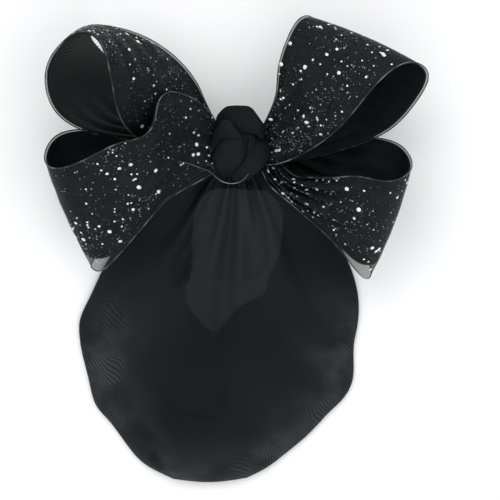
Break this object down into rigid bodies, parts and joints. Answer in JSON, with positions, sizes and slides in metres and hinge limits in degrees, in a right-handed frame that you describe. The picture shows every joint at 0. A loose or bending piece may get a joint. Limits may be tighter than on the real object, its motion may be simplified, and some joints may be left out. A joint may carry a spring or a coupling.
{
  "type": "hair bow barrette with snood",
  "caption": "Four-loop glitter ribbon hair bow knotted onto a spring barrette, with a sheer bun cover pouch hanging below it.",
  "frame": {"origin": "middle of the barrette base's underside, in the gap that clamps the hair", "axes": "+Z away from the head (towards the viewer), +Y to the top of the bow, +X along the barrette"},
  "size_m": [0.1087, 0.1329, 0.0501],
  "materials": {
    "glitter_sheer": "sheer black ribbon with silver glitter dots",
    "grosgrain": "ribbed black grosgrain",
    "edge_wire": "dark silvery monofilament",
    "thread": "black sewing thread",
    "glue": "hot glue",
    "clip_steel": "plated steel",
    "spring_steel": "spring steel",
    "snood_crepe": "sheer black crepe",
    "elastic": "covered elastic"
  },
  "bodies": {
    "bow": {"barrette_base": "clip_steel", "barrette_cover": "grosgrain", "hinge_pin": "clip_steel", "catch_saddle": "clip_steel", "catch_rivet": "clip_steel", "glitter_ribbon_a": "glitter_sheer", "glitter_ribbon_b": "glitter_sheer", "lining_ribbon_a": "grosgrain", "lining_ribbon_b": "grosgrain", "edge_wire_a_upper": "edge_wire", "edge_wire_a_lower": "edge_wire", "edge_wire_b_upper": "edge_wire", "edge_wire_b_lower": "edge_wire", "binding_thread": "thread", "center_wrap": "grosgrain", "center_knot": "grosgrain", "glue_pad": "glue", "snood_header_tape": "grosgrain", "attachment_stitches": "thread"},
    "clasp": {"clasp_arm": "clip_steel"},
    "tension": {"tension_bar": "spring_steel"},
    "prong_upper": {"catch_prong_upper": "spring_steel"},
    "prong_lower": {"catch_prong_lower": "spring_steel"},
    "snood": {"snood_bag": "snood_crepe", "snood_hem": "snood_crepe", "snood_elastic": "elastic"}
  },
  "joints": [
    {"name": "clasp_hinge", "type": "hinge", "parent": "bow", "child": "clasp", "pos_m": [-0.0345, 0, -0.0089], "axis": [0, 1, 0], "range_deg": [0, 70]},
    {"name": "tension_press", "type": "hinge", "parent": "bow", "child": "tension", "pos_m": [-0.03, 0, -0.0042], "axis": [0, -1, 0], "range_deg": [0, 1.8], "stiffness_Nm_per_rad": 0.05, "springref_deg": -1.15},
    {"name": "prong_upper_pinch", "type": "hinge", "parent": "bow", "child": "prong_upper", "pos_m": [0.0337, 0.00225, -0.00635], "axis": [-1, 0, 0], "range_deg": [0, 5], "stiffness_Nm_per_rad": 0.001, "springref_deg": -1.15},
    {"name": "prong_lower_pinch", "type": "hinge", "parent": "bow", "child": "prong_lower", "pos_m": [0.0337, -0.00225, -0.00635], "axis": [1, 0, 0], "range_deg": [0, 5], "stiffness_Nm_per_rad": 0.001, "springref_deg": -1.15},
    {"name": "snood_swing", "type": "hinge", "parent": "bow", "child": "snood", "pos_m": [0, -0.0098, 0.0002], "axis": [1, 0, 0], "range_deg": [-5, 70]}
  ],
  "couplings": [
    {"joint": "prong_lower_pinch", "follows": "prong_upper_pinch", "ratio": 1}
  ]
}
